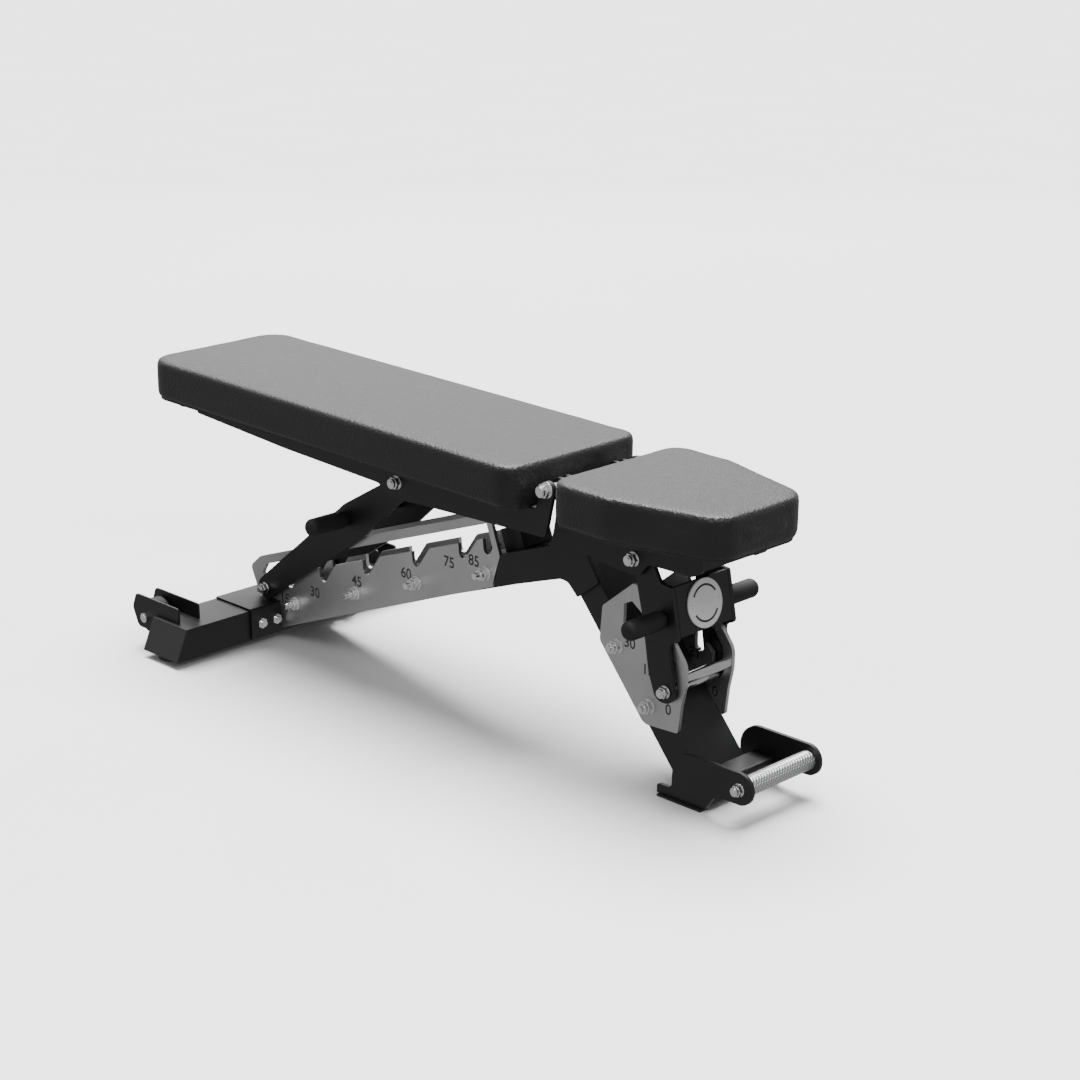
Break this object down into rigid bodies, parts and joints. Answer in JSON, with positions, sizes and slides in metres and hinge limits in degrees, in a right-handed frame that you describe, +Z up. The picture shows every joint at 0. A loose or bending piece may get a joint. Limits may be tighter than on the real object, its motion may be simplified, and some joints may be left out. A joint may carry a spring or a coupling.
{
  "type": "adjustable weight bench",
  "caption": "Flat-to-upright exercise bench whose backrest and seat fold on one hinge and are propped by arms catching in notched ladders.",
  "frame": {"origin": "centre of the bench's footprint, on the floor", "axes": "+X from the backrest end to the seat end, +Y to the far side, +Z up"},
  "size_m": [1.246, 0.52, 0.4519],
  "materials": {
    "painted_steel": "satin black powder coat",
    "zinc_steel": "fine-brushed zinc plate",
    "bright_bolts": "bright zinc",
    "chrome_bar": "polished",
    "badge_metal": "brushed",
    "handle_metal": "knurled",
    "pad_cover": "pebbled vinyl",
    "board_panel": "black-faced plywood",
    "rubber_black": "matte",
    "plastic_black": "moulded",
    "wheel_rubber": "matte"
  },
  "bodies": {
    "frame": {"rear_foot_tube": "painted_steel", "rear_end_caps": "plastic_black", "rear_rubber_feet": "rubber_black", "foot_saddle": "painted_steel", "saddle_bolts": "bright_bolts", "spine_tube": "painted_steel", "leg_tube": "painted_steel", "side_plate_near": "painted_steel", "side_plate_far": "painted_steel", "hinge_bolt": "bright_bolts", "backrest_stop_post": "painted_steel", "back_ladder_near": "zinc_steel", "back_ladder_far": "zinc_steel", "back_ladder_bolts": "bright_bolts", "seat_ladder_near": "zinc_steel", "seat_ladder_far": "zinc_steel", "seat_ladder_bolts": "bright_bolts", "seat_ladder_crossbar": "chrome_bar", "front_foot_tube": "painted_steel", "front_foot_plate_near": "painted_steel", "front_foot_plate_far": "painted_steel", "front_rubber_feet": "rubber_black", "front_handle": "handle_metal", "front_handle_bolts": "bright_bolts", "wheel_bracket_near": "painted_steel", "wheel_bracket_far": "painted_steel", "wheel_axle_near": "bright_bolts", "wheel_axle_far": "bright_bolts"},
    "wheel_near": {"wheel_near": "wheel_rubber"},
    "wheel_far": {"wheel_far": "wheel_rubber"},
    "backrest": {"back_pad": "pad_cover", "back_board": "board_panel", "backrest_side_plate_near": "painted_steel", "backrest_side_plate_far": "painted_steel", "backrest_cross_members": "painted_steel", "backrest_bumpers": "rubber_black", "back_arm_pivot_bolt": "bright_bolts"},
    "back_arm": {"back_arm_near": "painted_steel", "back_arm_far": "painted_steel", "back_arm_grip_bar": "painted_steel", "back_arm_grips": "rubber_black", "back_rod": "chrome_bar", "back_rod_bolts": "bright_bolts"},
    "seat": {"seat_pad": "pad_cover", "seat_board": "board_panel", "seat_rail_near": "painted_steel", "seat_rail_far": "painted_steel", "seat_cross_member": "painted_steel", "seat_arm_pivot_bolt": "bright_bolts"},
    "seat_arm": {"seat_arm_bracket": "painted_steel", "seat_badge": "badge_metal", "badge_screws": "bright_bolts", "seat_arm_grips": "rubber_black", "seat_rod": "chrome_bar", "seat_rod_bolts": "bright_bolts"}
  },
  "joints": [
    {"name": "backrest_hinge", "type": "hinge", "parent": "frame", "child": "backrest", "pos_m": [0.251, 0, 0.403], "axis": [0, 1, 0], "range_deg": [0, 85]},
    {"name": "back_arm_pivot", "type": "hinge", "parent": "backrest", "child": "back_arm", "pos_m": [-0.063, 0, 0.3475], "axis": [0, -1, 0], "range_deg": [0, 129.29]},
    {"name": "seat_hinge", "type": "hinge", "parent": "frame", "child": "seat", "pos_m": [0.251, 0, 0.403], "axis": [0, -1, 0], "range_deg": [0, 30]},
    {"name": "seat_arm_pivot", "type": "hinge", "parent": "seat", "child": "seat_arm", "pos_m": [0.3937, 0, 0.33], "axis": [0, 1, 0], "range_deg": [0, 60.58]},
    {"name": "wheel_near_spin", "type": "hinge", "parent": "frame", "child": "wheel_near", "pos_m": [-0.526, -0.21, 0.051], "axis": [0, 1, 0], "continuous": true},
    {"name": "wheel_far_spin", "type": "hinge", "parent": "frame", "child": "wheel_far", "pos_m": [-0.526, 0.21, 0.051], "axis": [0, 1, 0], "continuous": true}
  ],
  "couplings": [
    {"joint": "back_arm_pivot", "follows": "backrest_hinge", "ratio": 1.5152},
    {"joint": "seat_arm_pivot", "follows": "seat_hinge", "ratio": 2.0028}
  ]
}
